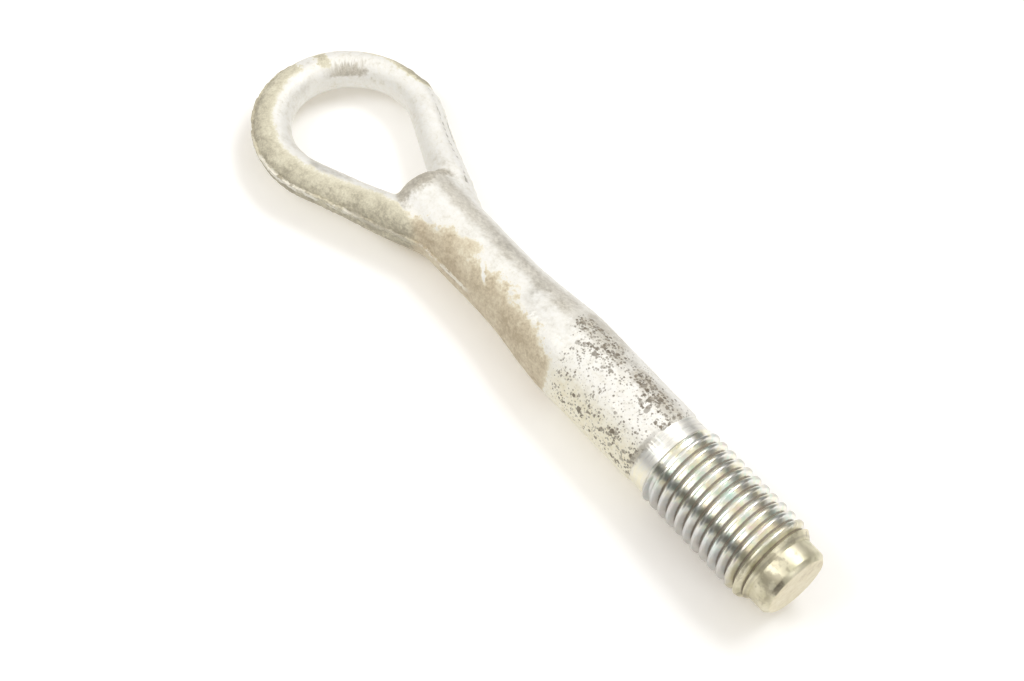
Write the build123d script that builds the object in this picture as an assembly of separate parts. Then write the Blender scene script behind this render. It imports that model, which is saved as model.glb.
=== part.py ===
"""Screw-in tow eye for a passenger car: one forged steel piece, a teardrop eye on a threaded shank.

Modelled about its own axis with X = 0 at the shank's shoulder and the thread's tip towards +X, then laid
down as it comes to rest on a flat surface: on the shank's nose and belly, with the eye just clear of it.
Millimetres, +Z up, origin on that surface under the middle of the part.
"""
from build123d import *
from math import asin, atan2, cos, degrees, hypot, radians, sin, tan
import os

# Eye: a round bar bent to a teardrop, whose straight arms close on the shank and run into it
BAR_DIAMETER = 9.3
EYE_INNER_WIDTH = 27.7
EYE_INNER_LENGTH = 38.0
ARM_HALF_ANGLE = 23.4
ARM_BLEND_RADIUS = 3.0

# Shank: forged round, from a blunt nose inside the eye by a waist and a swell to the belly and the shoulder
BELLY_DIAMETER = 20.0
WAIST_DEPTH = 1.9
NOSE_FLARE = 0.4
NOSE_EDGE_RADIUS = 4.5
NOSE_LENGTH = 33.0
SWELL_LENGTH = 24.0
BELLY_LENGTH = 28.0
SHOULDER_DRAFT = 0.3
SHOULDER_BEVEL = 1.0

# Thread: metric coarse, right-hand, rolled between a plain neck and a dog point
THREAD_DIAMETER = 20.0
THREAD_PITCH = 2.5
THREAD_FLANK_ANGLE = 60.0
THREAD_LENGTH = 30.7
NECK_LENGTH = 3.9
NECK_DEPTH = 0.7
DOG_LENGTH = 5.0
DOG_UNDER_ROOT = 0.45
DOG_CHAMFER = 0.6

bar_radius = BAR_DIAMETER / 2
eye_radius = EYE_INNER_WIDTH / 2 + bar_radius
belly_radius = BELLY_DIAMETER / 2
waist_radius = belly_radius - WAIST_DEPTH
nose_radius = waist_radius + NOSE_FLARE
shoulder_radius = belly_radius - SHOULDER_DRAFT

# Stations along the axis, from the shoulder back to the eye and on to the tip
belly_x = -BELLY_LENGTH
waist_x = belly_x - SWELL_LENGTH
nose_x = waist_x - NOSE_LENGTH
eye_far_x = nose_x - EYE_INNER_LENGTH - bar_radius
eye_x = eye_far_x + eye_radius
thread_start = NECK_LENGTH
thread_end = thread_start + THREAD_LENGTH
tip_x = thread_end + DOG_LENGTH

# Metric thread section: a sharp triangle, cut off an eighth of its height at the crest and a quarter at the root
flank_slope = tan(radians(THREAD_FLANK_ANGLE / 2))
triangle_height = THREAD_PITCH / 2 / flank_slope
crest_radius = THREAD_DIAMETER / 2
root_radius = crest_radius - triangle_height * 5 / 8
crest_flat = THREAD_PITCH / 8
neck_radius = crest_radius - NECK_DEPTH
dog_radius = root_radius - DOG_UNDER_ROOT

# The swell is two equal arcs, level at the waist and at the belly
swell_radius = (SWELL_LENGTH**2 + WAIST_DEPTH**2) / (4 * WAIST_DEPTH)

# Centre of the nose's rounded edge, under the nose's slight taper
nose_taper = NOSE_FLARE / NOSE_LENGTH
edge_x = nose_x + NOSE_EDGE_RADIUS
edge_offset = nose_radius - NOSE_EDGE_RADIUS * (nose_taper + hypot(1, nose_taper))

# Slope of the line that touches the nose's edge and the belly from below
reach = belly_x - edge_x
lift = swell_radius - belly_radius + edge_offset
rest_tilt = asin((swell_radius - NOSE_EDGE_RADIUS) / hypot(reach, lift)) - atan2(lift, reach)


def make_eye():
    """The bar swept along arm, round end and arm; both arms run on to where they cross the axis."""
    turn = radians(ARM_HALF_ANGLE)
    crossing = (eye_x + eye_radius / sin(turn), 0)
    upper = (eye_x + eye_radius * sin(turn), eye_radius * cos(turn))
    lower = (upper[0], -upper[1])
    path = Wire([Line(crossing, upper), ThreePointArc(upper, (eye_far_x, 0), lower), Line(lower, crossing)])
    section = Plane(origin=path @ 0, z_dir=path % 0) * Circle(bar_radius)
    return sweep(section, path=path)


def make_shank():
    """Half outline of nose, waist, belly, neck, thread blank and dog point, turned about the axis."""
    nose = Vector(nose_x, nose_radius)
    waist = Vector(waist_x, waist_radius)
    belly = Vector(belly_x, belly_radius)
    swell_middle = (waist + belly) / 2
    swell_in = TangentArc(waist, swell_middle, tangent=(1, 0))
    swell_out = TangentArc(swell_middle, belly, tangent=swell_in % 1)
    machined_end = Polyline(
        belly,
        (-SHOULDER_BEVEL, shoulder_radius),
        (0, neck_radius),
        (thread_start, neck_radius),
        (thread_start + NECK_DEPTH, crest_radius),
        (thread_end - (crest_radius - dog_radius), crest_radius),
        (thread_end, dog_radius),
        (tip_x - DOG_CHAMFER, dog_radius),
        (tip_x, dog_radius - DOG_CHAMFER),
        (tip_x, 0),
        (nose_x, 0),
        nose,
    )
    outline = make_face(Wire([Line(nose, waist), swell_in, swell_out, *machined_end.edges()]))
    nose_corner = outline.vertices().sort_by_distance(nose)[0]
    return revolve(fillet(nose_corner, NOSE_EDGE_RADIUS), axis=Axis.X)


def make_forging():
    """Eye and shank as one piece, with a soft blend where the arms run into the shank."""
    eye = make_eye()
    shank = make_shank()
    forging = eye + shank
    return fillet(new_edges(eye, shank, combined=forging), ARM_BLEND_RADIUS)


def make_thread_groove():
    """The groove between the turns: its section swept along a helix from the neck out past the last turn."""
    depth = crest_radius - root_radius
    clear = depth / 10
    mouth = THREAD_PITCH - crest_flat + 2 * clear * flank_slope
    root = mouth - 2 * (depth + clear) * flank_slope
    start = thread_start + THREAD_PITCH / 2
    run = thread_end + THREAD_PITCH / 2 - start
    helix = Helix(THREAD_PITCH, run, root_radius, center=(start, 0, 0), direction=(1, 0, 0))
    foot = helix @ 0
    outward = foot - Vector(start, 0, 0)
    across = Plane(origin=foot, x_dir=(1, 0, 0), z_dir=Vector(1, 0, 0).cross(outward))
    section = Polyline(
        (-root / 2, 0),
        (root / 2, 0),
        (mouth / 2, depth + clear),
        (-mouth / 2, depth + clear),
        close=True,
    )
    return sweep(across * make_face(section), path=helix, is_frenet=True)


def lay_down(part):
    """Turn the line under nose and belly level, and centre the part over it."""
    laid = Rot(0, -degrees(rest_tilt), 0) * part
    box = laid.bounding_box()
    return Pos(-box.center().X, 0, -box.min.Z) * laid


tow_eye = lay_down(make_forging() - make_thread_groove())
os.makedirs("parts", exist_ok=True)
export_step(tow_eye, "parts/tow_eye.step")
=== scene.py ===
from math import atan2, cos, hypot, pi, radians, sin

import bmesh
import bpy
from mathutils import Matrix, Vector, noise


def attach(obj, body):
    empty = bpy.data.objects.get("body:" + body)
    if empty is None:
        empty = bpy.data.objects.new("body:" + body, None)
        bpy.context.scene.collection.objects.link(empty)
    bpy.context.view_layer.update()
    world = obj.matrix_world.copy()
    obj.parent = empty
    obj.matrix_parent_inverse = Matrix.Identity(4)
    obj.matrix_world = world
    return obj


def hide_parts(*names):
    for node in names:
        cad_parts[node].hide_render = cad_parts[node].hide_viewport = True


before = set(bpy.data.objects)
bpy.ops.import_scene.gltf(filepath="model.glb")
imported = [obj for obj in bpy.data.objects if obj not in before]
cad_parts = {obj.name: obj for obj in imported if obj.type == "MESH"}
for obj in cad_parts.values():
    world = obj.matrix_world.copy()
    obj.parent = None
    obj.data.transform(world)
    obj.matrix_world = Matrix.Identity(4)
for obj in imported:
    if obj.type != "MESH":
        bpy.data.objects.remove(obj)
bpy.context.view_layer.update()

# The eye's bar: round forged steel, bent to a teardrop whose two straight arms close on the shank. A ring of
# the bar's section is spun round the bow and drawn out along both arms. The part is made about its own axis,
# with X = 0 at the shank's shoulder and the tip towards +X, and laid down last.
MM = 0.001
BAR_RADIUS = 4.52 * MM
BAR_SIDES = 64
EYE_RADIUS = 18.375 * MM
EYE_X = -109.15 * MM
BOW_STEPS = 120
ARM_TURN = radians(23.4)
ARM_LENGTH = 38.0 * MM
ARM_STEPS = 60
SAME_PLACE = 0.001 * MM
ON_RIM = 0.01 * MM
arm_top = Vector((EYE_X + EYE_RADIUS * sin(ARM_TURN), EYE_RADIUS * cos(ARM_TURN), 0))


def alone(piece):
    """Only this piece is selected and active."""
    bpy.ops.object.select_all(action="DESELECT")
    piece.select_set(True)
    bpy.context.view_layer.objects.active = piece


def change(piece, kind, **settings):
    """One modifier with these settings, applied."""
    alone(piece)
    modifier = piece.modifiers.new(kind.lower(), kind)
    for name, value in settings.items():
        setattr(modifier, name, value)
    bpy.ops.object.modifier_apply(modifier=modifier.name)


def join_solids(piece, other, operation="UNION"):
    """One closed solid from two; the other is used up."""
    change(piece, "BOOLEAN", operation=operation, solver="EXACT", object=other)
    bpy.data.objects.remove(other, do_unlink=True)


def select_where(piece, wanted):
    """In edit mode, selects the vertices whose place answers the question."""
    bpy.ops.mesh.select_all(action="DESELECT")
    bpy.ops.mesh.select_mode(type="VERT")
    mesh = bmesh.from_edit_mesh(piece.data)
    for vertex in mesh.verts:
        vertex.select = wanted(vertex.co)
    mesh.select_flush_mode()
    bmesh.update_edit_mesh(piece.data)


def close_up():
    """In edit mode, merges doubles, fills every open rim and turns the faces outwards."""
    bpy.ops.mesh.select_all(action="SELECT")
    bpy.ops.mesh.remove_doubles(threshold=SAME_PLACE)
    bpy.ops.mesh.fill_holes(sides=0)
    bpy.ops.mesh.select_all(action="SELECT")
    bpy.ops.mesh.normals_make_consistent(inside=False)


def arm_on(side):
    """Where the arm on this side leaves the bow, and its way from there to the shank."""
    return Vector((arm_top.x, side * arm_top.y, 0)), Vector((cos(ARM_TURN), -side * sin(ARM_TURN), 0))


def sweep_round_eye(section):
    """A flat section at the origin, outwards along its X and up along its Y, taken round the whole eye."""
    alone(section)
    stand = Matrix.Rotation(pi / 2 - ARM_TURN, 4, "Z") @ Matrix.Rotation(pi / 2, 4, "X")
    section.matrix_world = Matrix.Translation(arm_top) @ stand
    bpy.ops.object.transform_apply()
    bpy.ops.object.mode_set(mode="EDIT")
    bpy.ops.mesh.select_all(action="SELECT")
    bpy.ops.mesh.spin(steps=BOW_STEPS, angle=pi + 2 * ARM_TURN, center=(EYE_X, 0, 0), axis=(0, 0, -1))
    for side in (1, -1):
        end, along = arm_on(side)
        select_where(section, lambda place: place.y * side > 0 and abs((place - end).dot(along)) < ON_RIM)
        for step in range(ARM_STEPS):
            bpy.ops.mesh.extrude_region_move(TRANSFORM_OT_translate={"value": along * ARM_LENGTH / ARM_STEPS})
    close_up()
    bpy.ops.object.mode_set(mode="OBJECT")


bpy.ops.object.select_all(action="DESELECT")
bpy.ops.mesh.primitive_circle_add(vertices=BAR_SIDES, radius=BAR_RADIUS)
eye = bpy.context.object
eye.name = "eye_bar"
sweep_round_eye(eye)

# The bar's far side, from the eye's end to the farther arm, came out of the dies and the trimming thinner
# than the near side: its outer face is drawn in, most of all at the top of that arm, and a flat runs along it
# from the middle of the outer face to near the crown.
TRIMMED = 1.0 * MM
TRIM_ROUND_BOW = radians(95), radians(200)
TRIM_DOWN_ARM = 8 * MM, 29 * MM
FLAT_FROM = radians(8)
FLAT_TO = radians(66)
flat_middle = (FLAT_FROM + FLAT_TO) / 2


def smooth_step(low, high, value):
    """Rises smoothly from nothing at low to one at high; low may be the larger."""
    share = min(max((value - low) / (high - low), 0.0), 1.0)
    return share * share * (3 - 2 * share)


def round_eye(place):
    """Where a point lies on the eye: its distance outwards from the bar's middle line, which way outwards is
    there, and how much of the trimming reaches it."""
    from_middle = Vector((place.x - EYE_X, place.y, 0))
    angle = atan2(from_middle.y, from_middle.x) % (2 * pi)
    bow_start = pi / 2 - ARM_TURN
    if bow_start < angle < 2 * pi - bow_start:
        outward = from_middle.normalized()
        distance = from_middle.length - EYE_RADIUS
        amount = 1 - smooth_step(*TRIM_ROUND_BOW, angle)
    else:
        side = 1 if place.y > 0 else -1
        end, along = arm_on(side)
        outward = Vector((sin(ARM_TURN), side * cos(ARM_TURN), 0))
        distance = (place - end).dot(outward)
        amount = 1 - smooth_step(*TRIM_DOWN_ARM, (place - end).dot(along)) if side > 0 else 0.0
    return distance, outward, amount


def draw_in(piece):
    """Narrows the bar where it was trimmed, from its outer face."""
    for vertex in piece.data.vertices:
        distance, outward, amount = round_eye(vertex.co)
        vertex.co -= outward * TRIMMED * amount * (distance + BAR_RADIUS) / (2 * BAR_RADIUS)


for vertex in eye.data.vertices:
    distance, outward, amount = round_eye(vertex.co)
    around = atan2(vertex.co.z, distance)
    if FLAT_FROM < around < FLAT_TO:
        shaved = 1 - cos(flat_middle - FLAT_FROM) / cos(around - flat_middle)
        vertex.co -= (outward * distance + Vector((0, 0, vertex.co.z))) * shaved * amount
draw_in(eye)

# The arms' roots: towards the nose both arms grow deeper, so that the forged bar meets the nose nearer to its
# crown and runs into it without a step.
DEEPENED = 0.28
DEEPENED_FROM = -94 * MM
DEEPENED_TO = -81 * MM
for vertex in eye.data.vertices:
    vertex.co.z *= 1 + DEEPENED * smooth_step(DEEPENED_FROM, DEEPENED_TO, vertex.co.x)

# The shank: the same forging goes on as a thick round stem, from a blunt thumb-like nose that stands in the
# eye, by a slender waist and a long swell, to the belly and the bevelled shoulder.
# Half its outline is drawn point by point and turned about the axis.
NOSE_X = -85.0 * MM
NOSE_RADIUS = 8.44 * MM
NOSE_EDGE = 4.5 * MM
NOSE_STEPS = 10
WAIST_X = -52.0 * MM
WAIST_RADIUS = 8.1 * MM
BELLY_X = -28.0 * MM
BELLY_RADIUS = 9.93 * MM
STEM_STEPS = 20
SHOULDER_RADIUS = 9.7 * MM
SHOULDER_BEVEL = 1.0 * MM
UNDER_NECK = 9.2 * MM
SHANK_SIDES = 96


def draw_outline(name, points):
    """A chain of edges through points of (along the axis, up from it), drawn on from a single vertex."""
    bpy.ops.object.select_all(action="DESELECT")
    bpy.ops.mesh.primitive_plane_add(size=MM)
    piece = bpy.context.object
    piece.name = name
    bpy.ops.object.mode_set(mode="EDIT")
    bpy.ops.mesh.select_all(action="SELECT")
    bpy.ops.mesh.merge(type="CENTER")
    here = Vector((0, 0, 0))
    for number, (x, height) in enumerate(points):
        step = Vector((x, 0, height)) - here
        if number == 0:
            bpy.ops.transform.translate(value=step)
        else:
            bpy.ops.mesh.extrude_vertices_move(TRANSFORM_OT_translate={"value": step})
        here += step
    bpy.ops.object.mode_set(mode="OBJECT")
    return piece


def wind(piece, sides, **settings):
    """The outline turned once about the axis, in so many steps."""
    change(
        piece,
        "SCREW",
        axis="X",
        angle=2 * pi,
        steps=sides,
        render_steps=sides,
        use_merge_vertices=False,
        **settings,
    )


def turn_outline(name, points, sides):
    """A solid turned from half its outline, which starts and ends on the axis."""
    piece = draw_outline(name, points)
    wind(piece, sides)
    bpy.ops.object.mode_set(mode="EDIT")
    close_up()
    bpy.ops.object.mode_set(mode="OBJECT")
    return piece


shank_outline = [(NOSE_X, 0)]
for step in range(NOSE_STEPS + 1):
    turn = radians(90 * step / NOSE_STEPS)
    x = NOSE_X + NOSE_EDGE * (1 - cos(turn))
    shank_outline.append((x, NOSE_RADIUS - NOSE_EDGE * (1 - sin(turn))))
stem_x = NOSE_X + NOSE_EDGE
for step in range(1, STEM_STEPS + 1):
    x = stem_x + (WAIST_X - stem_x) * step / STEM_STEPS
    shank_outline.append((x, NOSE_RADIUS + (WAIST_RADIUS - NOSE_RADIUS) * step / STEM_STEPS))
for step in range(1, STEM_STEPS + 1):
    x = WAIST_X + (BELLY_X - WAIST_X) * step / STEM_STEPS
    grown = smooth_step(0, STEM_STEPS, step)
    shank_outline.append((x, WAIST_RADIUS + (BELLY_RADIUS - WAIST_RADIUS) * grown))
shank_outline += [(-SHOULDER_BEVEL, SHOULDER_RADIUS), (0, UNDER_NECK), (0, 0)]
forging = turn_outline("shank", shank_outline, SHANK_SIDES)
join_solids(forging, eye)

# Eye and shank are one forging, with soft blends where the arms run into the nose and an uneven skin from the
# dies. A fine even net is laid over the joined solid, the seams are smoothed, and the skin is made uneven by
# broad waves and small pits of scale.
SKIN_GRAIN = 0.45 * MM
SKIN_PASSES = 6
SEAM_PASSES = 60
SEAM_FROM = -92 * MM
SEAM_TO = -55 * MM
BLEND_REACH = 3.2 * MM
WAVE_SIZE = 8 * MM
WAVE_HEIGHT = 0.20 * MM
PIT_SIZE = 1.3 * MM
PIT_DEPTH = 0.10 * MM
change(forging, "REMESH", mode="VOXEL", voxel_size=SKIN_GRAIN)


def shank_radius(x):
    """The shank's radius at this place along the axis."""
    for (low, low_radius), (high, high_radius) in zip(shank_outline[:-1], shank_outline[1:]):
        if low <= x < high:
            return low_radius + (high_radius - low_radius) * (x - low) / (high - low)
    return 0.0


def weigh(piece, name, amount):
    """A vertex group whose weight at each vertex is worked out from its place."""
    group = piece.vertex_groups.new(name=name)
    for vertex in piece.data.vertices:
        weight = amount(vertex.co)
        if weight > 0:
            group.add([vertex.index], weight, "REPLACE")
    return group.name


def near_the_seam(place):
    """One where the arm's skin meets the shank's, falling to nothing a blend's reach away."""
    if not SEAM_FROM < place.x < SEAM_TO:
        return 0.0
    distance = round_eye(place)[0]
    off_bar = abs(hypot(distance, place.z) - BAR_RADIUS)
    off_shank = abs(hypot(place.y, place.z) - shank_radius(place.x))
    return 1 - smooth_step(0.3 * BLEND_REACH, BLEND_REACH, max(off_bar, off_shank))


def cloudy(name, size):
    """A cloudy pattern with features of this size."""
    pattern = bpy.data.textures.new(name, "CLOUDS")
    pattern.noise_scale = size
    pattern.noise_depth = 2
    return pattern


def uneven(piece, pattern, height, middle=0.5, group=""):
    """The skin is lifted where the pattern is above its middle and sunk where it is below."""
    change(
        piece,
        "DISPLACE",
        texture=pattern,
        texture_coords="LOCAL",
        strength=height,
        mid_level=middle,
        vertex_group=group,
    )


change(forging, "SMOOTH", factor=0.5, iterations=SKIN_PASSES)
seam_group = weigh(forging, "seam", near_the_seam)
change(forging, "SMOOTH", factor=0.5, iterations=SEAM_PASSES, vertex_group=seam_group)
scale_pits = cloudy("scale_pits", PIT_SIZE)
uneven(forging, cloudy("die_skin", WAVE_SIZE), WAVE_HEIGHT)
uneven(forging, scale_pits, PIT_DEPTH)

# The crust: on the near side of the eye, from the crown outwards, grime has dried on the scale in small
# lumps. They hold the skin's height, the hollows between them are sunk, and all of it fades out at the shank.
CRUST_DEPTH = 0.35 * MM
CRUST_MIDDLE = 0.75
CRUST_ENDS = -82 * MM, -92 * MM
CRUST_SIDE = -3 * MM, 1 * MM
CRUST_ROUND_BAR = radians(75), radians(110)


def crusted(place):
    """One where the crust is thickest, falling to nothing over the crown, the far side and the shank."""
    around = abs(atan2(place.z, round_eye(place)[0]))
    off_shank = smooth_step(*CRUST_ENDS, place.x)
    return off_shank * (1 - smooth_step(*CRUST_SIDE, place.y)) * (1 - smooth_step(*CRUST_ROUND_BAR, around))


uneven(forging, scale_pits, CRUST_DEPTH, CRUST_MIDDLE, weigh(forging, "crust", crusted))

# The flash: where the dies met, the steel squeezed out in a thin fin all round, and the trimming left a low
# ragged land along the middle of the bar's outer face. A flat strip is swept round the eye and its edge is
# broken up; on the near side it runs a little above the middle.
FLASH_UP = 0.55 * MM
FLASH_OUT = 0.22 * MM
FLASH_CHIPPED = 0.42 * MM
FLASH_TRIMMED = 0.08 * MM
CHIP_SIZE = 1.0 * MM
NOTCH_SIZE = 3.0 * MM
SWELL_SIZE = 1.9 * MM
PARTING_RISE = 1.1 * MM
PARTING_SIDE = 4 * MM


def parting_height(place):
    """Height of the dies' parting line: level on the far side, a little above the middle on the near side."""
    return PARTING_RISE * (1 - smooth_step(-PARTING_SIDE, PARTING_SIDE, place.y))


bpy.ops.object.select_all(action="DESELECT")
bpy.ops.mesh.primitive_plane_add(size=1.0)
flash = bpy.context.object
flash.name = "flash"
bpy.ops.object.mode_set(mode="EDIT")
bpy.ops.mesh.delete(type="ONLY_FACE")
bpy.ops.mesh.select_all(action="SELECT")
bpy.ops.transform.resize(value=(BAR_RADIUS, 2 * FLASH_UP, 1))
bpy.ops.transform.translate(value=(BAR_RADIUS / 2 + FLASH_OUT, 0, 0))
bpy.ops.object.mode_set(mode="OBJECT")
sweep_round_eye(flash)
draw_in(flash)
for vertex in flash.data.vertices:
    distance, outward, amount = round_eye(vertex.co)
    ragged = 0.7 * noise.noise(vertex.co / CHIP_SIZE) + noise.noise(vertex.co / NOTCH_SIZE)
    vertex.co += outward * (FLASH_CHIPPED * min(ragged - 0.05, 0.0) - FLASH_TRIMMED * amount)
    vertex.co.z *= 1 + 0.8 * noise.noise(vertex.co / SWELL_SIZE)
    vertex.co.z += parting_height(vertex.co)
join_solids(forging, flash)

# The shank's fin: past the arms the same flash runs on along both sides of the shank, lower and less ragged,
# and sinks into the steel at the waist. It is a thin strip across the shank, with its edges just outside it.
FIN_FROM = -80 * MM
FIN_FADES = -66 * MM
FIN_TO = -52 * MM
FIN_STEPS = 80
FIN_UP = 0.8 * FLASH_UP
FIN_SUNK = 0.5 * MM
FIN_RAGGED = 0.12 * MM
FIN_CHIP_SIZE = 1.1 * MM
bpy.ops.object.select_all(action="DESELECT")
bpy.ops.mesh.primitive_grid_add(x_subdivisions=FIN_STEPS, y_subdivisions=2, size=1.0)
fin = bpy.context.object
fin.name = "shank_fin"
change(fin, "SOLIDIFY", thickness=2 * FIN_UP, offset=0.0)
for vertex in fin.data.vertices:
    vertex.co.x = FIN_FROM + (FIN_TO - FIN_FROM) * (vertex.co.x + 0.5)
    sunk = FIN_SUNK * smooth_step(FIN_FADES, FIN_TO, vertex.co.x)
    ragged = FIN_RAGGED * noise.noise(vertex.co / FIN_CHIP_SIZE)
    reach = shank_radius(vertex.co.x) + FLASH_OUT - sunk + ragged
    vertex.co.y = reach * round(2 * vertex.co.y)
    vertex.co.z *= 1 + 0.35 * noise.noise(vertex.co / SWELL_SIZE)
    vertex.co.z += parting_height(vertex.co)
join_solids(forging, fin)

# The screw thread: metric coarse, right-hand, rolled on the shank's end, with rounded crests and roots.
# One pitch of its outline is wound about the axis and cut to length, with a lead cone at the tip. A slim core
# fills the first grooves, so that they run out at the neck, and stands out past the last turn as a dog point.
PITCH = 2.5 * MM
CREST = 10.0 * MM
ROOT = 8.58 * MM
NECK_RADIUS = 9.3 * MM
NECK_END = 3.9 * MM
THREAD_END = 34.6 * MM
DOG_RADIUS = 8.197 * MM
TIP_X = 39.6 * MM
FIRST_GROOVE = 5.15 * MM
TURNS = 17
TURN_STEPS = 72
THREAD_SIDES = 144
CUT_OVER = 0.05 * MM

# Half a tooth, in millimetres along the axis from the middle of its crest and off the axis
half_tooth = [
    (0.00, 9.985),
    (0.22, 9.982),
    (0.30, 9.95),
    (0.365, 9.87),
    (0.70, 9.34),
    (1.05, 8.78),
    (1.12, 8.68),
    (1.18, 8.62),
    (1.22, 8.59),
]
tooth = [(x * MM, radius * MM) for x, radius in half_tooth] + [(PITCH / 2, ROOT)]
tooth += [(PITCH - x * MM, radius * MM) for x, radius in reversed(half_tooth)]
tooth_start = FIRST_GROOVE - PITCH / 2 - 2 * PITCH
thread_middle = tooth_start + PITCH * (TURNS + 1) / 2
thread = draw_outline("thread", [(tooth_start + x, radius) for x, radius in tooth])
wind(thread, TURN_STEPS, screw_offset=PITCH, iterations=TURNS)
bpy.ops.object.mode_set(mode="EDIT")
bpy.ops.mesh.select_all(action="SELECT")
bpy.ops.mesh.remove_doubles(threshold=SAME_PLACE)
for near_tip in (False, True):
    bpy.ops.mesh.select_all(action="DESELECT")
    bpy.ops.mesh.select_non_manifold(
        use_wire=False, use_multi_face=False, use_non_contiguous=False, use_verts=False
    )
    mesh = bmesh.from_edit_mesh(thread.data)
    for edge in mesh.edges:
        if edge.select and (edge.verts[0].co.x > thread_middle) != near_tip:
            edge.select = False
    mesh.select_flush(False)
    bmesh.update_edit_mesh(thread.data)
    bpy.ops.mesh.extrude_edges_move(TRANSFORM_OT_translate={"value": (0, 0, 0)})
    bpy.ops.mesh.merge(type="CENTER")
bpy.ops.mesh.select_all(action="SELECT")
bpy.ops.mesh.normals_make_consistent(inside=False)
bpy.ops.object.mode_set(mode="OBJECT")
envelope = turn_outline(
    "envelope",
    [
        (NECK_END, 0),
        (NECK_END, NECK_RADIUS - 0.1 * MM),
        (NECK_END + 0.9 * MM, CREST + CUT_OVER),
        (THREAD_END - 3.0 * MM, CREST + CUT_OVER),
        (THREAD_END - 1.9 * MM, CREST - 0.32 * MM),
        (THREAD_END - 0.8 * MM, CREST - 1.05 * MM),
        (THREAD_END, DOG_RADIUS + CUT_OVER),
        (THREAD_END, 0),
    ],
    THREAD_SIDES,
)
join_solids(thread, envelope, "INTERSECT")
core = turn_outline(
    "core",
    [
        (-3 * MM, 0),
        (-3 * MM, NECK_RADIUS),
        (NECK_END + 0.3 * MM, NECK_RADIUS),
        (NECK_END + 4.2 * MM, 8.4 * MM),
        (THREAD_END - 4 * MM, DOG_RADIUS),
        (TIP_X - 1.34 * MM, DOG_RADIUS),
        (TIP_X - 1.16 * MM, DOG_RADIUS - 0.04 * MM),
        (TIP_X - 1.00 * MM, DOG_RADIUS - 0.14 * MM),
        (TIP_X - 0.22 * MM, DOG_RADIUS - 0.86 * MM),
        (TIP_X - 0.10 * MM, DOG_RADIUS - 1.02 * MM),
        (TIP_X - 0.04 * MM, DOG_RADIUS - 1.25 * MM),
        (TIP_X, DOG_RADIUS - 2.2 * MM),
        (TIP_X, 0),
    ],
    THREAD_SIDES,
)
join_solids(thread, core)
join_solids(forging, thread)

# The finished part is one piece of steel. It lies as it comes to rest on a flat surface: on its nose and its
# belly, the axis rising a little towards the tip and the eye just clear of the table.
TILT = 0.0302324
SHIFT_X = 46.215064 * MM
SHIFT_Z = 10.876659 * MM
CREASE = radians(38)
tow_eye = forging
tow_eye.name = "tow_eye_forging"
tow_eye.data.name = "tow_eye_forging"
alone(tow_eye)
tow_eye.vertex_groups.clear()
tow_eye.matrix_world = Matrix.Translation((SHIFT_X, 0, SHIFT_Z)) @ Matrix.Rotation(-TILT, 4, "Y")
bpy.ops.object.transform_apply()
bpy.ops.object.shade_smooth_by_angle(angle=CREASE)
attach(tow_eye, "root")
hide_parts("tow_eye")

# The finish: zinc plating, dulled over the years. White bloom covers most of the forging, tan grime has dried
# on the side that lay in the damp, near the shoulder the plating is eaten through in black specks, and the
# thread stayed bright. Patterns lie in the part's own axes, with places in millimetres and angles in degrees.
zinc = bpy.data.materials.new("weathered_zinc")
zinc.use_nodes = True
tree = zinc.node_tree
tree.nodes.clear()


def put(kind, *values, output=0, **settings):
    """One node; its inputs take these numbers, colours or other outputs in order, and None is left alone."""
    made = tree.nodes.new("ShaderNode" + kind)
    for name, value in settings.items():
        setattr(made, name, value)
    for socket, value in zip(made.inputs, values):
        if isinstance(value, bpy.types.NodeSocket):
            tree.links.new(value, socket)
        elif value is not None:
            socket.default_value = value
    return made.outputs[output] if made.outputs else None


def chain(operation, values):
    """The values taken together two by two, from the first on."""
    result = values[0]
    for value in values[1:]:
        result = put("Math", result, value, operation=operation)
    return result


def times(*values):
    return chain("MULTIPLY", values)


def plus(*values):
    return chain("ADD", values)


def most(*values):
    return chain("MAXIMUM", values)


def minus(value):
    return times(value, -1.0)


def opposite(value):
    """One less the value."""
    return put("Math", 1.0, value, operation="SUBTRACT")


def absolute(value):
    return put("Math", value, operation="ABSOLUTE")


def bearing(across, ahead):
    """The angle in degrees from straight ahead."""
    return times(put("Math", across, ahead, operation="ARCTAN2"), 180 / pi)


def distance_off(across, ahead):
    """The length of the way across and ahead."""
    return put("Math", plus(times(across, across), times(ahead, ahead)), 0.5, operation="POWER")


def ramp(value, low, high, start=0.0, end=1.0):
    """Rises smoothly from start at low to end at high; low may be the larger."""
    return put("MapRange", value, low, high, start, end, interpolation_type="SMOOTHSTEP")


def between(value, low, high, soft):
    """One from low to high, with soft edges."""
    return times(ramp(value, low - soft, low + soft), ramp(value, high + soft, high - soft))


def evened(pattern):
    """A noise stretched to run from minus a half to a half."""
    return put("MapRange", pattern, 0.28, 0.72, -0.5, 0.5)


def grain(size, detail=3.0, rough=0.5, shift=0.0, stretch=None):
    """A cloudy pattern with features of about this size in millimetres, from minus a half to a half."""
    place = axes
    if shift or stretch:
        place = put("Mapping", axes, (shift, shift * 0.7, -shift), None, stretch or (1, 1, 1))
    return evened(put("TexNoise", place, None, 1.0 / size, detail, rough))


def colour(red, green, blue):
    return (red, green, blue, 1.0)


def tint(share, under, over):
    """The colour under, covered by the one over as far as the share says."""
    return put("Mix", share, *[None] * 5, under, over, output=2, data_type="RGBA")


def level(share, under, over):
    """The number under, moved to the one over as far as the share says."""
    return put("Mix", share, None, under, over)


def stops(value, *tones):
    """A colour that runs through these tones, each at its place along the value."""
    made = tree.nodes.new("ShaderNodeValToRGB")
    points = made.color_ramp.elements
    while len(points) < len(tones):
        points.new(0.5)
    for point, (place, red, green, blue) in zip(points, tones):
        point.position = place
        point.color = colour(red, green, blue)
    tree.links.new(value, made.inputs[0])
    return made.outputs[0]


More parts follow.
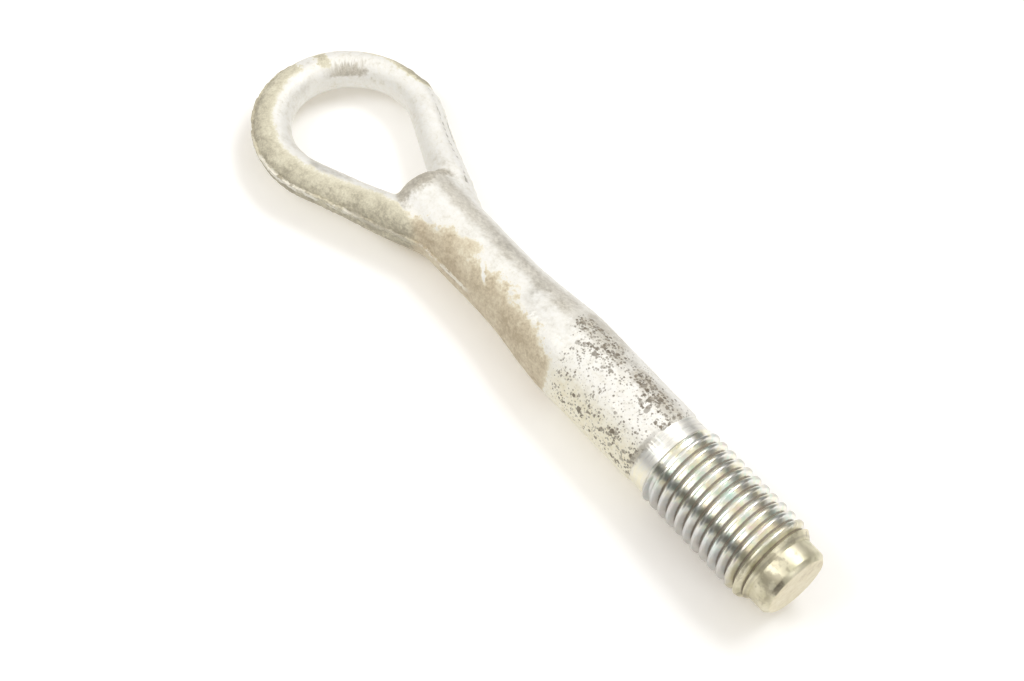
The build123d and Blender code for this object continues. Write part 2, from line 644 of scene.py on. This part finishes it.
axes = put(
    "Mapping",
    put("TexCoord", output=3),
    (SHIFT_X, 0, SHIFT_Z),
    (0, -TILT, 0),
    (MM, MM, MM),
    vector_type="TEXTURE",
)
along, side, up = put("SeparateXYZ", axes).node.outputs

# Degrees round the axis from the crown, growing towards the near side, and millimetres off the axis
lean = bearing(minus(side), up)
off_axis = distance_off(side, up)

# On the eye: degrees round the bow from its far end, growing towards the far side, millimetres outwards from
# the bar's middle line, and degrees round the bar's section from its outer face over the crown
eye_x = plus(along, -EYE_X / MM)
abs_side = absolute(side)
bow = bearing(side, minus(eye_x))
out_bow = distance_off(eye_x, side)
out_arm = plus(times(eye_x, sin(ARM_TURN)), times(abs_side, cos(ARM_TURN)))
on_arm = put("Math", times(eye_x, cos(ARM_TURN)), times(abs_side, sin(ARM_TURN)), operation="GREATER_THAN")
outward = plus(level(on_arm, out_bow, out_arm), -EYE_RADIUS / MM)
around = bearing(up, outward)
abs_around = absolute(around)
off_parting = absolute(
    plus(up, minus(ramp(side, -PARTING_SIDE / MM, PARTING_SIDE / MM, PARTING_RISE / MM, 0.0)))
)

# Which of the three the surface belongs to: the eye, the shank with its rounded nose, or the thread
into_nose = times(plus(along, -(NOSE_X + NOSE_EDGE) / MM), MM / NOSE_EDGE)
nose_arc = put("Math", opposite(times(into_nose, into_nose)), 0.5, operation="POWER")
nose_fit = plus((NOSE_RADIUS - NOSE_EDGE) / MM, times(nose_arc, NOSE_EDGE / MM))
on_eye = most(
    ramp(along, -84.6, -86.0),
    times(ramp(plus(off_axis, minus(nose_fit)), 0.4, 1.2), ramp(along, -80.0, -81.0)),
    times(ramp(off_axis, 8.7, 10.0), ramp(along, -55.0, -60.0)),
)
on_shank = times(opposite(on_eye), ramp(along, 0.3, -0.2))
on_thread = ramp(along, -0.1, 0.3)
off_thread = opposite(on_thread)

# Cloudy patterns that the layers share
wide = grain(9.0, 2.0, 0.5)
patch = grain(3.2, 3.0, 0.55)
fine = grain(1.0, 3.0, 0.6)
dust = grain(0.45, 2.0, 0.6)
hue = grain(2.8, 2.0, 0.5, 11.0)
clouds = {"wide": wide, "patch": patch, "fine": fine, "dust": dust, "hue": hue}


def frayed(value, **shares):
    """The value, made to wander by so much of each of these cloudy patterns."""
    return plus(value, *[times(clouds[name], share) for name, share in shares.items()])


# Plating and its white bloom, yellower on the near side towards the shoulder and whiter on the eye's far
# half, there partly painted light
PLATE_TONES = (0.1, 0.76, 0.74, 0.68), (0.5, 0.85, 0.835, 0.785), (0.9, 0.92, 0.91, 0.875)
BLOOM_TONES = (0.1, 0.78, 0.75, 0.65), (0.4, 0.91, 0.895, 0.84), (0.8, 0.95, 0.945, 0.92)
YELLOW_TONES = (0.1, 0.90, 0.83, 0.60), (0.8, 0.98, 0.935, 0.76)
plate = stops(frayed(0.5, patch=0.5, fine=0.4), *PLATE_TONES)
# The eye's far half: more bloom, partly painted light
far_bloom_and_light = times(on_eye, ramp(side, 0.0, 5.0))
yellowed = times(ramp(lean, 25.0, 65.0), ramp(along, -32.0, -22.0), off_thread)
bloom_load = plus(frayed(0.6, wide=0.5, patch=0.4, fine=0.3), times(far_bloom_and_light, 0.25), times(yellowed, 0.4))
bloom_share = ramp(bloom_load, 0.15, 0.75)
bloom = stops(frayed(0.5, patch=0.35, fine=0.45, dust=0.3), *BLOOM_TONES)
bloom = tint(times(yellowed, 0.85), bloom, stops(plus(0.5, fine), *YELLOW_TONES))

# Tan grime, dried on the near side of the shank and, more olive, of the eye; an olive patch and a dirty rim
# on the eye's far half; and where the near arm meets the nose, grime and painted shade
TAN_TONES = (
    (0.25, 0.90, 0.86, 0.72),
    (0.50, 0.80, 0.73, 0.56),
    (0.75, 0.67, 0.58, 0.42),
    (1.00, 0.50, 0.41, 0.275),
)
OLIVE_TAN_TONES = (
    (0.25, 0.90, 0.87, 0.74),
    (0.50, 0.80, 0.76, 0.60),
    (0.75, 0.64, 0.595, 0.45),
    (1.00, 0.41, 0.37, 0.27),
)
grime_edge = plus(24.0, ramp(along, -64.0, -82.0, 0.0, 34.0), ramp(along, -37.0, -28.0, 0.0, 26.0))
past_edge = frayed(plus(lean, minus(grime_edge)), wide=10.0, patch=16.0, fine=8.0)
shank_end = ramp(frayed(along, patch=2.4, fine=1.6), -26.2, -28.2)
turned_under = ramp(absolute(lean), 178.0, 125.0, 0.5, 1.0)
shank_grime = times(on_shank, ramp(past_edge, -14.0, 20.0), shank_end, turned_under)
near_half = ramp(frayed(bow, fine=5.0, patch=5.0), 2.0, -4.0)
eye_side = ramp(frayed(abs_around, patch=26.0, fine=18.0), 120.0, 78.0)
eye_outer = ramp(abs_around, 66.0, 14.0)
near_arm = times(ramp(bow, -80.0, -100.0), ramp(abs_around, 176.0, 130.0))
eye_load = plus(times(eye_side, 0.92), times(eye_outer, 0.20), times(near_arm, 0.03))
eye_grime = times(on_eye, near_half, eye_load)
olive_patch = times(
    on_eye,
    between(frayed(bow, fine=5.0, patch=3.0), 9.5, 19.0, 2.5),
    between(frayed(abs_around, patch=26.0, fine=14.0), 40.0, 116.0, 12.0),
)
rim_edge = ramp(bow, 24.0, 80.0, 70.0, 92.0)
far_rim = times(
    on_eye,
    between(frayed(bow, patch=12.0, fine=6.0), 20.0, 97.0, 7.0),
    ramp(frayed(plus(abs_around, minus(rim_edge)), patch=22.0, fine=18.0), 14.0, -14.0),
    ramp(bow, 30.0, 92.0, 0.62, 1.25),
)
# Where the near arm meets the nose: grime, darkened further by painted shade in the crotch
corner_grime_and_shade = times(
    ramp(absolute(plus(off_axis, -8.4)), 2.8, 0.6),
    ramp(absolute(plus(outward, -4.2)), 3.6, 0.8),
    ramp(side, 3.0, -3.0),
    between(along, -90.0, -58.0, 3.0),
)
streak = times(
    between(frayed(lean, patch=12.0), 60.0, 84.0, 9.0),
    between(frayed(along, wide=5.0), -88.0, -60.0, 5.0),
    on_shank,
)
scrape = times(
    between(frayed(plus(along, times(lean, -0.16)), fine=1.0), -60.8, -59.4, 0.5),
    between(frayed(lean, fine=6.0), 27.0, 47.0, 4.0),
    on_shank,
)
grime_place = most(plus(shank_grime, eye_grime), times(olive_patch, 0.9), far_rim, times(corner_grime_and_shade, 0.9))
grime_load = plus(
    frayed(times(grime_place, 0.78), wide=0.20),
    times(streak, 0.14),
    times(scrape, -0.7),
    times(patch, 0.30),
    times(fine, 0.27),
    times(dust, 0.24),
)
grime_share = times(ramp(grime_load, 0.2, 0.52), off_thread)
grime = tint(on_eye, stops(grime_load, *TAN_TONES), stops(grime_load, *OLIVE_TAN_TONES))

# Dark specks where the plating is eaten through, thickest in a band along the crown and on the near side
SPECK_TONES = (0.1, 0.075, 0.056, 0.034), (0.9, 0.25, 0.205, 0.145)
crown_gap = between(plus(frayed(along, patch=3.0), times(lean, -0.12)), -15.0, -12.0, 1.4)
crown_band = times(
    between(frayed(lean, patch=9.0, fine=6.0), -29.0, -1.0, 6.0),
    ramp(along, -35.0, -29.0),
    opposite(times(crown_gap, 0.6)),
)
crown_edge = times(between(frayed(lean, wide=14.0), -6.0, 14.0, 7.0), ramp(along, -32.0, -24.0))
near_band = times(between(frayed(lean, wide=12.0), 50.0, 98.0, 9.0), ramp(along, -24.0, -17.0))
scatter = times(ramp(frayed(along, wide=5.0), -31.0, -24.0), between(lean, -45.0, 100.0, 12.0))
clusters = ramp(grain(2.8, 2.0, 0.5, 31.0), -0.15, 0.35)
speck_load = times(
    most(
        times(crown_band, plus(0.85, times(clusters, 0.4))),
        times(crown_edge, plus(0.55, times(clusters, 0.5))),
        times(near_band, plus(0.48, times(clusters, 0.52))),
        times(scatter, plus(0.36, times(clusters, 0.38))),
    ),
    ramp(along, -36.0, -30.0),
    off_thread,
    opposite(times(shank_grime, 0.9)),
)


def spots(size, ragged, reach, least, shift):
    """Round-edged spots about this far apart: how far each covers, and a random number of its own."""
    wander = put("TexNoise", axes, None, 1.6 / size, 2.0, 0.6, output=1)
    wander = put("VectorMath", wander, (0.5, 0.5, 0.5), operation="SUBTRACT")
    wander = put("VectorMath", wander, (ragged, ragged, ragged), operation="MULTIPLY")
    place = put("Mapping", put("VectorMath", axes, wander, operation="ADD"), (shift, -shift, shift))
    cells = put("TexVoronoi", place, None, 1.0 / size).node.outputs
    lots = put("SeparateColor", cells["Color"]).node.outputs
    radius = times(speck_load, most(plus(lots[0], -least), 0.0), reach / (1.0 - least))
    inside = plus(radius, times(cells["Distance"], -size))
    return ramp(inside, -0.09, 0.11), lots[1]


small, small_lot = spots(size=0.55, ragged=0.5, reach=0.48, least=0.0, shift=3.0)
medium, medium_lot = spots(size=1.15, ragged=1.0, reach=0.74, least=0.12, shift=17.0)
large, large_lot = spots(size=2.4, ragged=2.2, reach=1.10, least=0.40, shift=29.0)
specks = most(
    times(small, plus(0.55, times(small_lot, 0.45))),
    times(medium, plus(0.55, times(medium_lot, 0.45))),
    times(large, plus(0.5, times(large_lot, 0.4))),
)
speck = stops(frayed(0.5, fine=0.6, patch=0.3), *SPECK_TONES)

# Grey film on the nose's rounded end and on the crown's far flank, there partly painted shade; dark streaks
# on the inner face of the bow; and a darker film round the specks on the crown
FILM_TONES = (0.1, 0.31, 0.275, 0.215), (0.5, 0.50, 0.455, 0.365), (0.9, 0.70, 0.65, 0.54)
CROWN_TONES = (0.1, 0.25, 0.22, 0.17), (0.9, 0.68, 0.63, 0.52)
across_bar = put("CombineXYZ", times(bow, 0.5), times(around, 0.035), 0.0)
brushed = evened(put("TexNoise", across_bar, None, 1.0, 2.0, 0.6))
# Dark streaks on the upper half of the bow's inner face
inner_streaks = times(
    on_eye,
    between(frayed(bow, fine=9.0, patch=8.0), 17.0, 50.0, 8.0),
    ramp(frayed(plus(abs_around, times(brushed, 44.0)), fine=8.0), 104.0, 144.0),
    ramp(frayed(abs_around, fine=8.0), 161.0, 152.0),
    ramp(up, -0.5, 0.5),
)
grey_film_and_shade = most(
    # The crown's far flank: grey film, partly painted shade
    times(between(frayed(lean, patch=12.0), -40.0, -6.0, 9.0), ramp(along, -30.0, -36.0), on_shank, 0.75),
    times(ramp(frayed(along, fine=1.8, patch=1.6), -78.4, -81.6), on_shank),
    inner_streaks,
)
film = stops(frayed(0.5, fine=0.55, dust=0.4), *FILM_TONES)
film_low = ramp(along, -24.0, -14.0, -58.0, -31.0)
crown_film = times(
    ramp(frayed(plus(lean, minus(film_low)), patch=10.0, fine=5.0), -8.0, 8.0),
    ramp(frayed(lean, patch=9.0, fine=9.0), 4.0, -12.0),
    ramp(frayed(along, patch=4.0), -35.0, -29.0),
    opposite(times(crown_gap, 0.65)),
    ramp(frayed(0.5, patch=0.5, fine=0.5, dust=0.35), 0.05, 0.75),
    off_thread,
)
crown_tone = stops(frayed(0.5, fine=0.5, dust=0.45), *CROWN_TONES)

# Rows of small nicks along both edges of the trimmed flat on the far arm
NICK = colour(0.30, 0.27, 0.22)
flat_edges = most(between(around, 18.0, 25.0, 4.0), between(around, 61.0, 70.0, 4.0))
nicks = times(
    on_eye,
    flat_edges,
    ramp(bow, 84.0, 96.0),
    ramp(along, -68.0, -74.0),
    ramp(frayed(times(grain(1.5, 2.0, 0.5, 71.0), 0.7), fine=0.3, dust=0.2), 0.0, 0.14),
)

# The flash's edge along the near side, lightened as a painted highlight
FLASH_HIGHLIGHT = colour(0.92, 0.89, 0.79)
flash_highlight_share = times(
    most(
        times(on_eye, ramp(bow, -55.0, -80.0)),
        times(ramp(along, -54.0, -58.0), ramp(side, 0.0, -4.0), on_shank),
    ),
    ramp(frayed(off_parting, fine=0.5, patch=0.4), 0.75, 0.45),
    most(ramp(outward, 4.40, 4.56), ramp(off_axis, 8.35, 8.5)),
    ramp(frayed(patch, wide=0.5, fine=0.5), -0.30, 0.05),
    most(on_shank, ramp(along, -84.0, -91.0, 0.3, 1.0)),
)

# The bright thread: faint green, yellow and pink from the passivation, painted shade greying it underneath,
# two painted reflections as dark bands along it, and painted shade darkening the far side's crests
BRIGHT_TONES = (
    (0.1, 0.80, 0.91, 0.85),
    (0.4, 0.93, 0.92, 0.88),
    (0.65, 0.95, 0.92, 0.75),
    (0.95, 0.94, 0.82, 0.80),
)
GREEN_SHEEN = colour(0.68, 0.87, 0.77)
# The next four colours are painted: shade underneath, reflections in two bands, shade on the far crests
UNDERSIDE_SHADE = colour(0.50, 0.495, 0.50)
NEAR_REFLECTION_BAND = colour(0.25, 0.27, 0.255)
FAR_REFLECTION_BAND = colour(0.40, 0.39, 0.375)
FAR_CREST_SHADE = colour(0.30, 0.29, 0.275)
sheen = grain(2.1, 2.0, 0.5, 83.0)
reflection_band_lean = frayed(lean, hue=6.0, fine=4.0)
# Painted shade: the crests darker on the thread's far side
far_crest_shade_share = times(ramp(frayed(lean, hue=6.0), -30.0, -50.0), ramp(off_axis, 9.45, 9.9))
bright = stops(frayed(0.5, hue=0.8, fine=0.2), *BRIGHT_TONES)
bright = tint(times(ramp(sheen, 0.08, 0.38), 0.5), bright, GREEN_SHEEN)
# Painted shade: the thread greyer on its underside
bright = tint(times(ramp(frayed(lean, hue=8.0), 52.0, 76.0), 0.75), bright, UNDERSIDE_SHADE)
# Painted reflections: two dark bands along the thread, at fixed angles round the axis
bright = tint(times(between(reflection_band_lean, 42.0, 54.0, 5.0), 0.62), bright, NEAR_REFLECTION_BAND)
bright = tint(times(between(reflection_band_lean, -25.0, -15.0, 5.0), 0.42), bright, FAR_REFLECTION_BAND)
bright = tint(times(far_crest_shade_share, 0.55), bright, FAR_CREST_SHADE)

# The dog point: an olive film from the last turns on, brown stains, a dark spot on the bevel and a dull cream
# end face
OLIVE_TONES = (0.1, 0.56, 0.51, 0.32), (0.8, 0.80, 0.75, 0.56)
END_TONES = (0.1, 0.64, 0.56, 0.41), (0.45, 0.82, 0.745, 0.55), (0.9, 0.92, 0.86, 0.69)
BROWN_STAIN = colour(0.29, 0.25, 0.165)
BEVEL_SPOT = colour(0.15, 0.13, 0.095)
olive_start = plus(frayed(along, patch=2.0), times(sheen, 1.6), ramp(lean, 10.0, 60.0, 0.0, 1.4))
olive = ramp(olive_start, 29.6, 33.4)
stain_load = plus(
    frayed(grain(3.4, 3.0, 0.6, 44.0), fine=0.25), times(between(lean, 30.0, 75.0, 15.0), 0.16)
)
stain = times(ramp(stain_load, 0.08, 0.38), between(along, 31.0, 39.3, 1.0))
bevel_spot = times(between(along, 38.5, 39.45, 0.15), between(frayed(lean, fine=10.0), 37.0, 58.0, 6.0))
end_face = ramp(along, 39.35, 39.55)
bright = tint(times(olive, 0.85), bright, stops(plus(0.5, hue), *OLIVE_TONES))
bright = tint(times(stain, 0.5), bright, BROWN_STAIN)
bright = tint(times(bevel_spot, 0.8), bright, BEVEL_SPOT)
bright = tint(end_face, bright, stops(frayed(0.5, patch=0.45, fine=0.4), *END_TONES))

# Painted shade in the thread's roots, a neck brushed round and yellowed underneath, and darker at the
# shoulder
NECK_TONES = (0.05, 0.60, 0.585, 0.54), (0.35, 0.86, 0.85, 0.81), (0.9, 0.96, 0.91, 0.70)
ROOT_SHADE = colour(0.22, 0.18, 0.135)
SHOULDER_DARKENING = colour(0.34, 0.31, 0.26)
roots = times(ramp(frayed(off_axis, fine=0.12), 8.98, 8.64), between(along, 4.6, 34.0, 0.5))
on_neck = times(on_thread, ramp(along, 4.2, 3.6))
turned_lines = grain(1.2, 3.0, 0.6, 7.0, (3.0, 0.3, 0.3))
neck_tone = stops(plus(0.3, times(turned_lines, 0.5), times(ramp(lean, 40.0, 80.0), 0.5)), *NECK_TONES)
# Painted shade: the thread's roots darkened
bright = tint(times(roots, 0.85), bright, ROOT_SHADE)
bright = tint(times(on_neck, 0.85), bright, neck_tone)
# Darker at the shoulder on the near side
shoulder = times(
    between(frayed(along, fine=0.9, patch=0.8), -1.1, 0.35, 0.4),
    between(frayed(lean, patch=20.0), 26.0, 70.0, 14.0),
)

# All layers over one another, from the plating up
skin = tint(times(bloom_share, 0.85), plate, bloom)
for share, tone in (
    (times(grey_film_and_shade, 0.75), film),
    (times(crown_film, 0.80), crown_tone),
    (times(grime_share, 0.96), grime),
    (times(specks, 0.96), speck),
    (times(nicks, 0.7), NICK),
    # Painted highlight on the flash's edge
    (times(flash_highlight_share, 0.8), FLASH_HIGHLIGHT),
    (on_thread, bright),
    (times(shoulder, 0.6), SHOULDER_DARKENING),
):
    skin = tint(share, skin, tone)

# Bare plating shines, bloom and dirt are dull, and the forged skin is finely pitted
PIT_BUMP = 0.10 * MM
dull = most(times(bloom_share, 0.7), grime_share, specks, times(grey_film_and_shade, 0.4), crown_film)
dirty = most(roots, times(end_face, 0.6), times(stain, 0.5), times(on_neck, 0.35), times(olive, 0.3))
rough_thread = most(roots, times(end_face, 0.7), times(on_neck, 0.5), times(olive, 0.45))
metallic = level(on_thread, level(dull, 0.7, 0.05), level(dirty, 0.88, 0.15))
roughness = level(on_thread, level(dull, 0.42, 0.72), level(rough_thread, 0.28, 0.55))
relief = times(grain(0.75, 3.0, 0.65, 19.0), level(on_thread, 1.0, 0.08))
bump = put("Bump", 0.5, PIT_BUMP, None, relief)

shader = tree.nodes.new("ShaderNodeBsdfPrincipled")
for socket, source in (
    ("Base Color", skin),
    ("Metallic", metallic),
    ("Roughness", roughness),
    ("Normal", bump),
):
    tree.links.new(source, shader.inputs[socket])
put("OutputMaterial", shader.outputs[0])
tow_eye.data.materials.clear()
tow_eye.data.materials.append(zinc)

# The table: a sheet of white paper, larger than the view. It goes to white where the light reaches it and
# keeps the part's soft, warm shadow.
SHEET_SIZE = 4.0
bpy.ops.mesh.primitive_plane_add(size=SHEET_SIZE)
floor = bpy.context.object
floor.name = "floor"
paper = bpy.data.materials.new("paper")
paper.use_nodes = True
tree = paper.node_tree
tree.nodes.clear()
rays = put("LightPath").node.outputs
seen = most(rays["Is Camera Ray"], rays["Is Glossy Ray"])
matt = put("BsdfDiffuse", colour(0.93, 0.93, 0.93))
lit = put("BsdfDiffuse", colour(0.90, 0.93, 0.98))
glow = put("Emission", colour(0.19, 0.15, 0.09), 1.0)
put("OutputMaterial", put("MixShader", seen, matt, put("AddShader", lit, glow)))
floor.data.materials.append(paper)

# The room: a pale, slightly warm ceiling over darker walls, so that the bright metal has something dark to
# mirror between the lamps.
ROOM = colour(0.93, 0.905, 0.86)
WALL_LIGHT = 0.06
CEILING_LIGHT = 0.82
world = bpy.data.worlds.new("room")
bpy.context.scene.world = world
world.use_nodes = True
tree = world.node_tree
tree.nodes.clear()
height = put("SeparateXYZ", put("TexCoord"), output=2)
put("OutputWorld", put("Background", ROOM, ramp(height, 0.22, 0.85, WALL_LIGHT, CEILING_LIGHT)))


# The lamps: three soft boxes that face the part. The key hangs high behind it, the fill stands in front on
# the eye's side, and a small one beyond the tip lights the end face.
def softbox(name, place, width, depth, power):
    """A rectangular area lamp at a place, facing the part."""
    bpy.ops.object.light_add(type="AREA", location=place)
    lamp = bpy.context.object
    lamp.name = name
    lamp.data.shape = "RECTANGLE"
    lamp.data.size = width
    lamp.data.size_y = depth
    lamp.data.energy = power
    lamp.rotation_euler = (-Vector(place)).to_track_quat("-Z", "Y").to_euler()


softbox("key", place=(0.04, 0.43, 0.78), width=0.50, depth=0.28, power=2.95)
softbox("fill", place=(-0.24, -0.46, 0.60), width=0.40, depth=0.40, power=1.85)
softbox("tip", place=(0.70, 0.06, 0.38), width=0.20, depth=0.20, power=0.6)

# The camera: it looks down on the part from beyond the tip, on the near side, turned a little about its own
# line of sight, as in the photograph.
CAMERA_PLACE = (157.374 * MM, -155.271 * MM, 335.213 * MM)
CAMERA_AIM = (6.227 * MM, -8.073 * MM, 10.0 * MM)
CAMERA_ROLL = radians(-6.503)
SENSOR_WIDTH = 36.0
LENS = 63.789
bpy.ops.object.camera_add(location=CAMERA_PLACE)
camera = bpy.context.object
camera.data.sensor_width = SENSOR_WIDTH
camera.data.lens = LENS
look = (Vector(CAMERA_AIM) - Vector(CAMERA_PLACE)).to_track_quat("-Z", "Y").to_matrix()
camera.rotation_euler = (look @ Matrix.Rotation(-CAMERA_ROLL, 3, "Z")).to_euler()
camera.data.clip_start = 10 * MM
bpy.context.scene.camera = camera
bpy.context.scene.view_settings.view_transform = "Standard"
